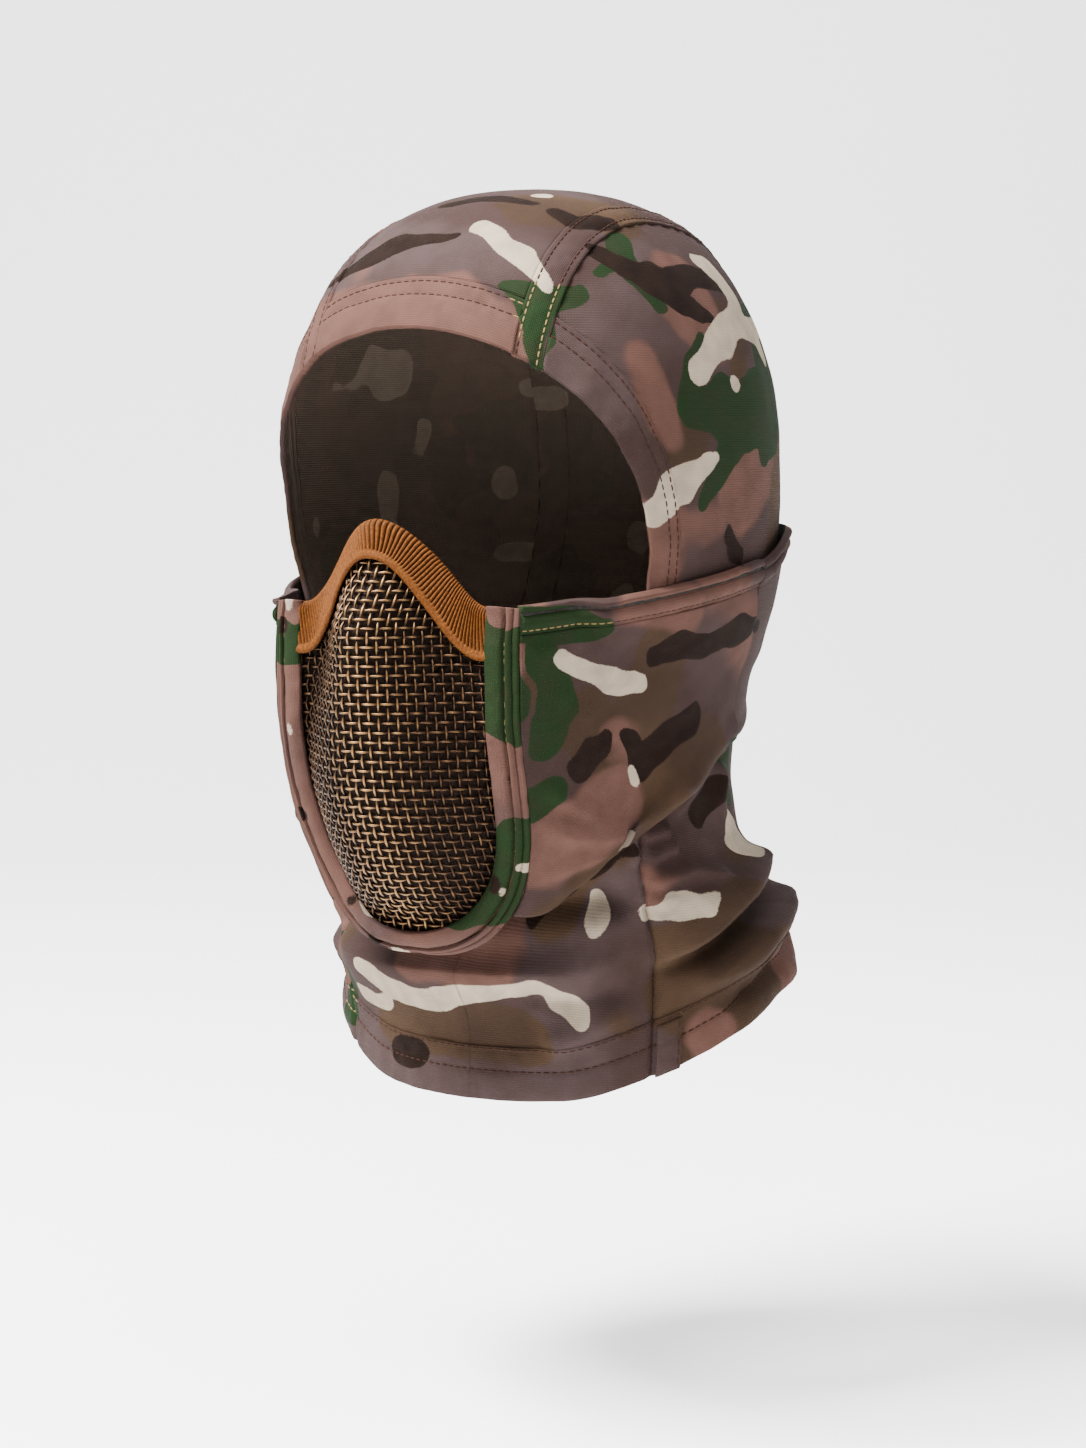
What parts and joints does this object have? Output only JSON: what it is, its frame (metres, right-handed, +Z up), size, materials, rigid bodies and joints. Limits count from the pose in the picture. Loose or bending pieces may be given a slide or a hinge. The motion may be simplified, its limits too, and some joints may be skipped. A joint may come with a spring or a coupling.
{
  "type": "mesh mask balaclava",
  "caption": "Stretch camouflage hood and neck gaiter with a cloth face cover holding a formed woven wire mesh half mask.",
  "frame": {"origin": "inside top of the crown, where the hood sits on the top of the head", "axes": "+Z up out of the crown, -Y the way the face looks, +X to the wearer's left"},
  "size_m": [0.1616, 0.2118, 0.3002],
  "materials": {
    "hood_jersey": "soft knitted stretch jersey with a printed camouflage of mauve, khaki, pink, green, dark brown and off-white",
    "gaiter_jersey": "the same printed jersey, folded and gathered round the neck",
    "cover_jersey": "the same printed jersey, stretched smooth",
    "binding_jersey": "the same printed jersey turned over the mask's edge and topstitched",
    "dark_lining": "thin matt dark brown cloth",
    "ochre_webbing": "ribbed woven webbing",
    "elastic": "flat woven elastic",
    "foam": "soft closed-cell foam",
    "bronzed_wire": "plain-woven steel wire with a bronze coating worn brighter on its crowns"
  },
  "bodies": {
    "hood": {"crown_panel": "hood_jersey", "brow_hem": "hood_jersey", "chin_hem": "hood_jersey", "crown_seam_left": "hood_jersey", "crown_seam_right": "hood_jersey", "hood_side_left": "hood_jersey", "hood_side_right": "hood_jersey", "temple_hem_left": "hood_jersey", "temple_hem_right": "hood_jersey", "neck_front_panel": "gaiter_jersey", "neck_back_panel": "gaiter_jersey", "neck_hem_front": "gaiter_jersey", "neck_hem_back": "gaiter_jersey", "cover_back_panel": "cover_jersey", "cover_back_hem": "cover_jersey", "cover_back_elastic": "elastic"},
    "mask": {"face_cover_left": "cover_jersey", "face_cover_right": "cover_jersey", "cover_hem_left": "cover_jersey", "cover_hem_right": "cover_jersey", "cover_elastic_left": "elastic", "cover_elastic_right": "elastic", "wire_mesh": "bronzed_wire", "mesh_rim": "bronzed_wire", "mesh_lining": "dark_lining", "nose_trim": "ochre_webbing", "nose_pad": "foam", "mask_binding": "binding_jersey", "edge_piping": "binding_jersey"}
  },
  "joints": [
    {"name": "mask_pull_down", "type": "slide", "parent": "hood", "child": "mask", "axis": [0, -0.3499, -0.9368], "range_m": [0, 0.07], "stiffness_N_per_m": 80, "springref_m": -0.025, "deforming": ["face_cover_left", "face_cover_right", "cover_hem_left", "cover_hem_right", "cover_elastic_left", "cover_elastic_right"]}
  ]
}
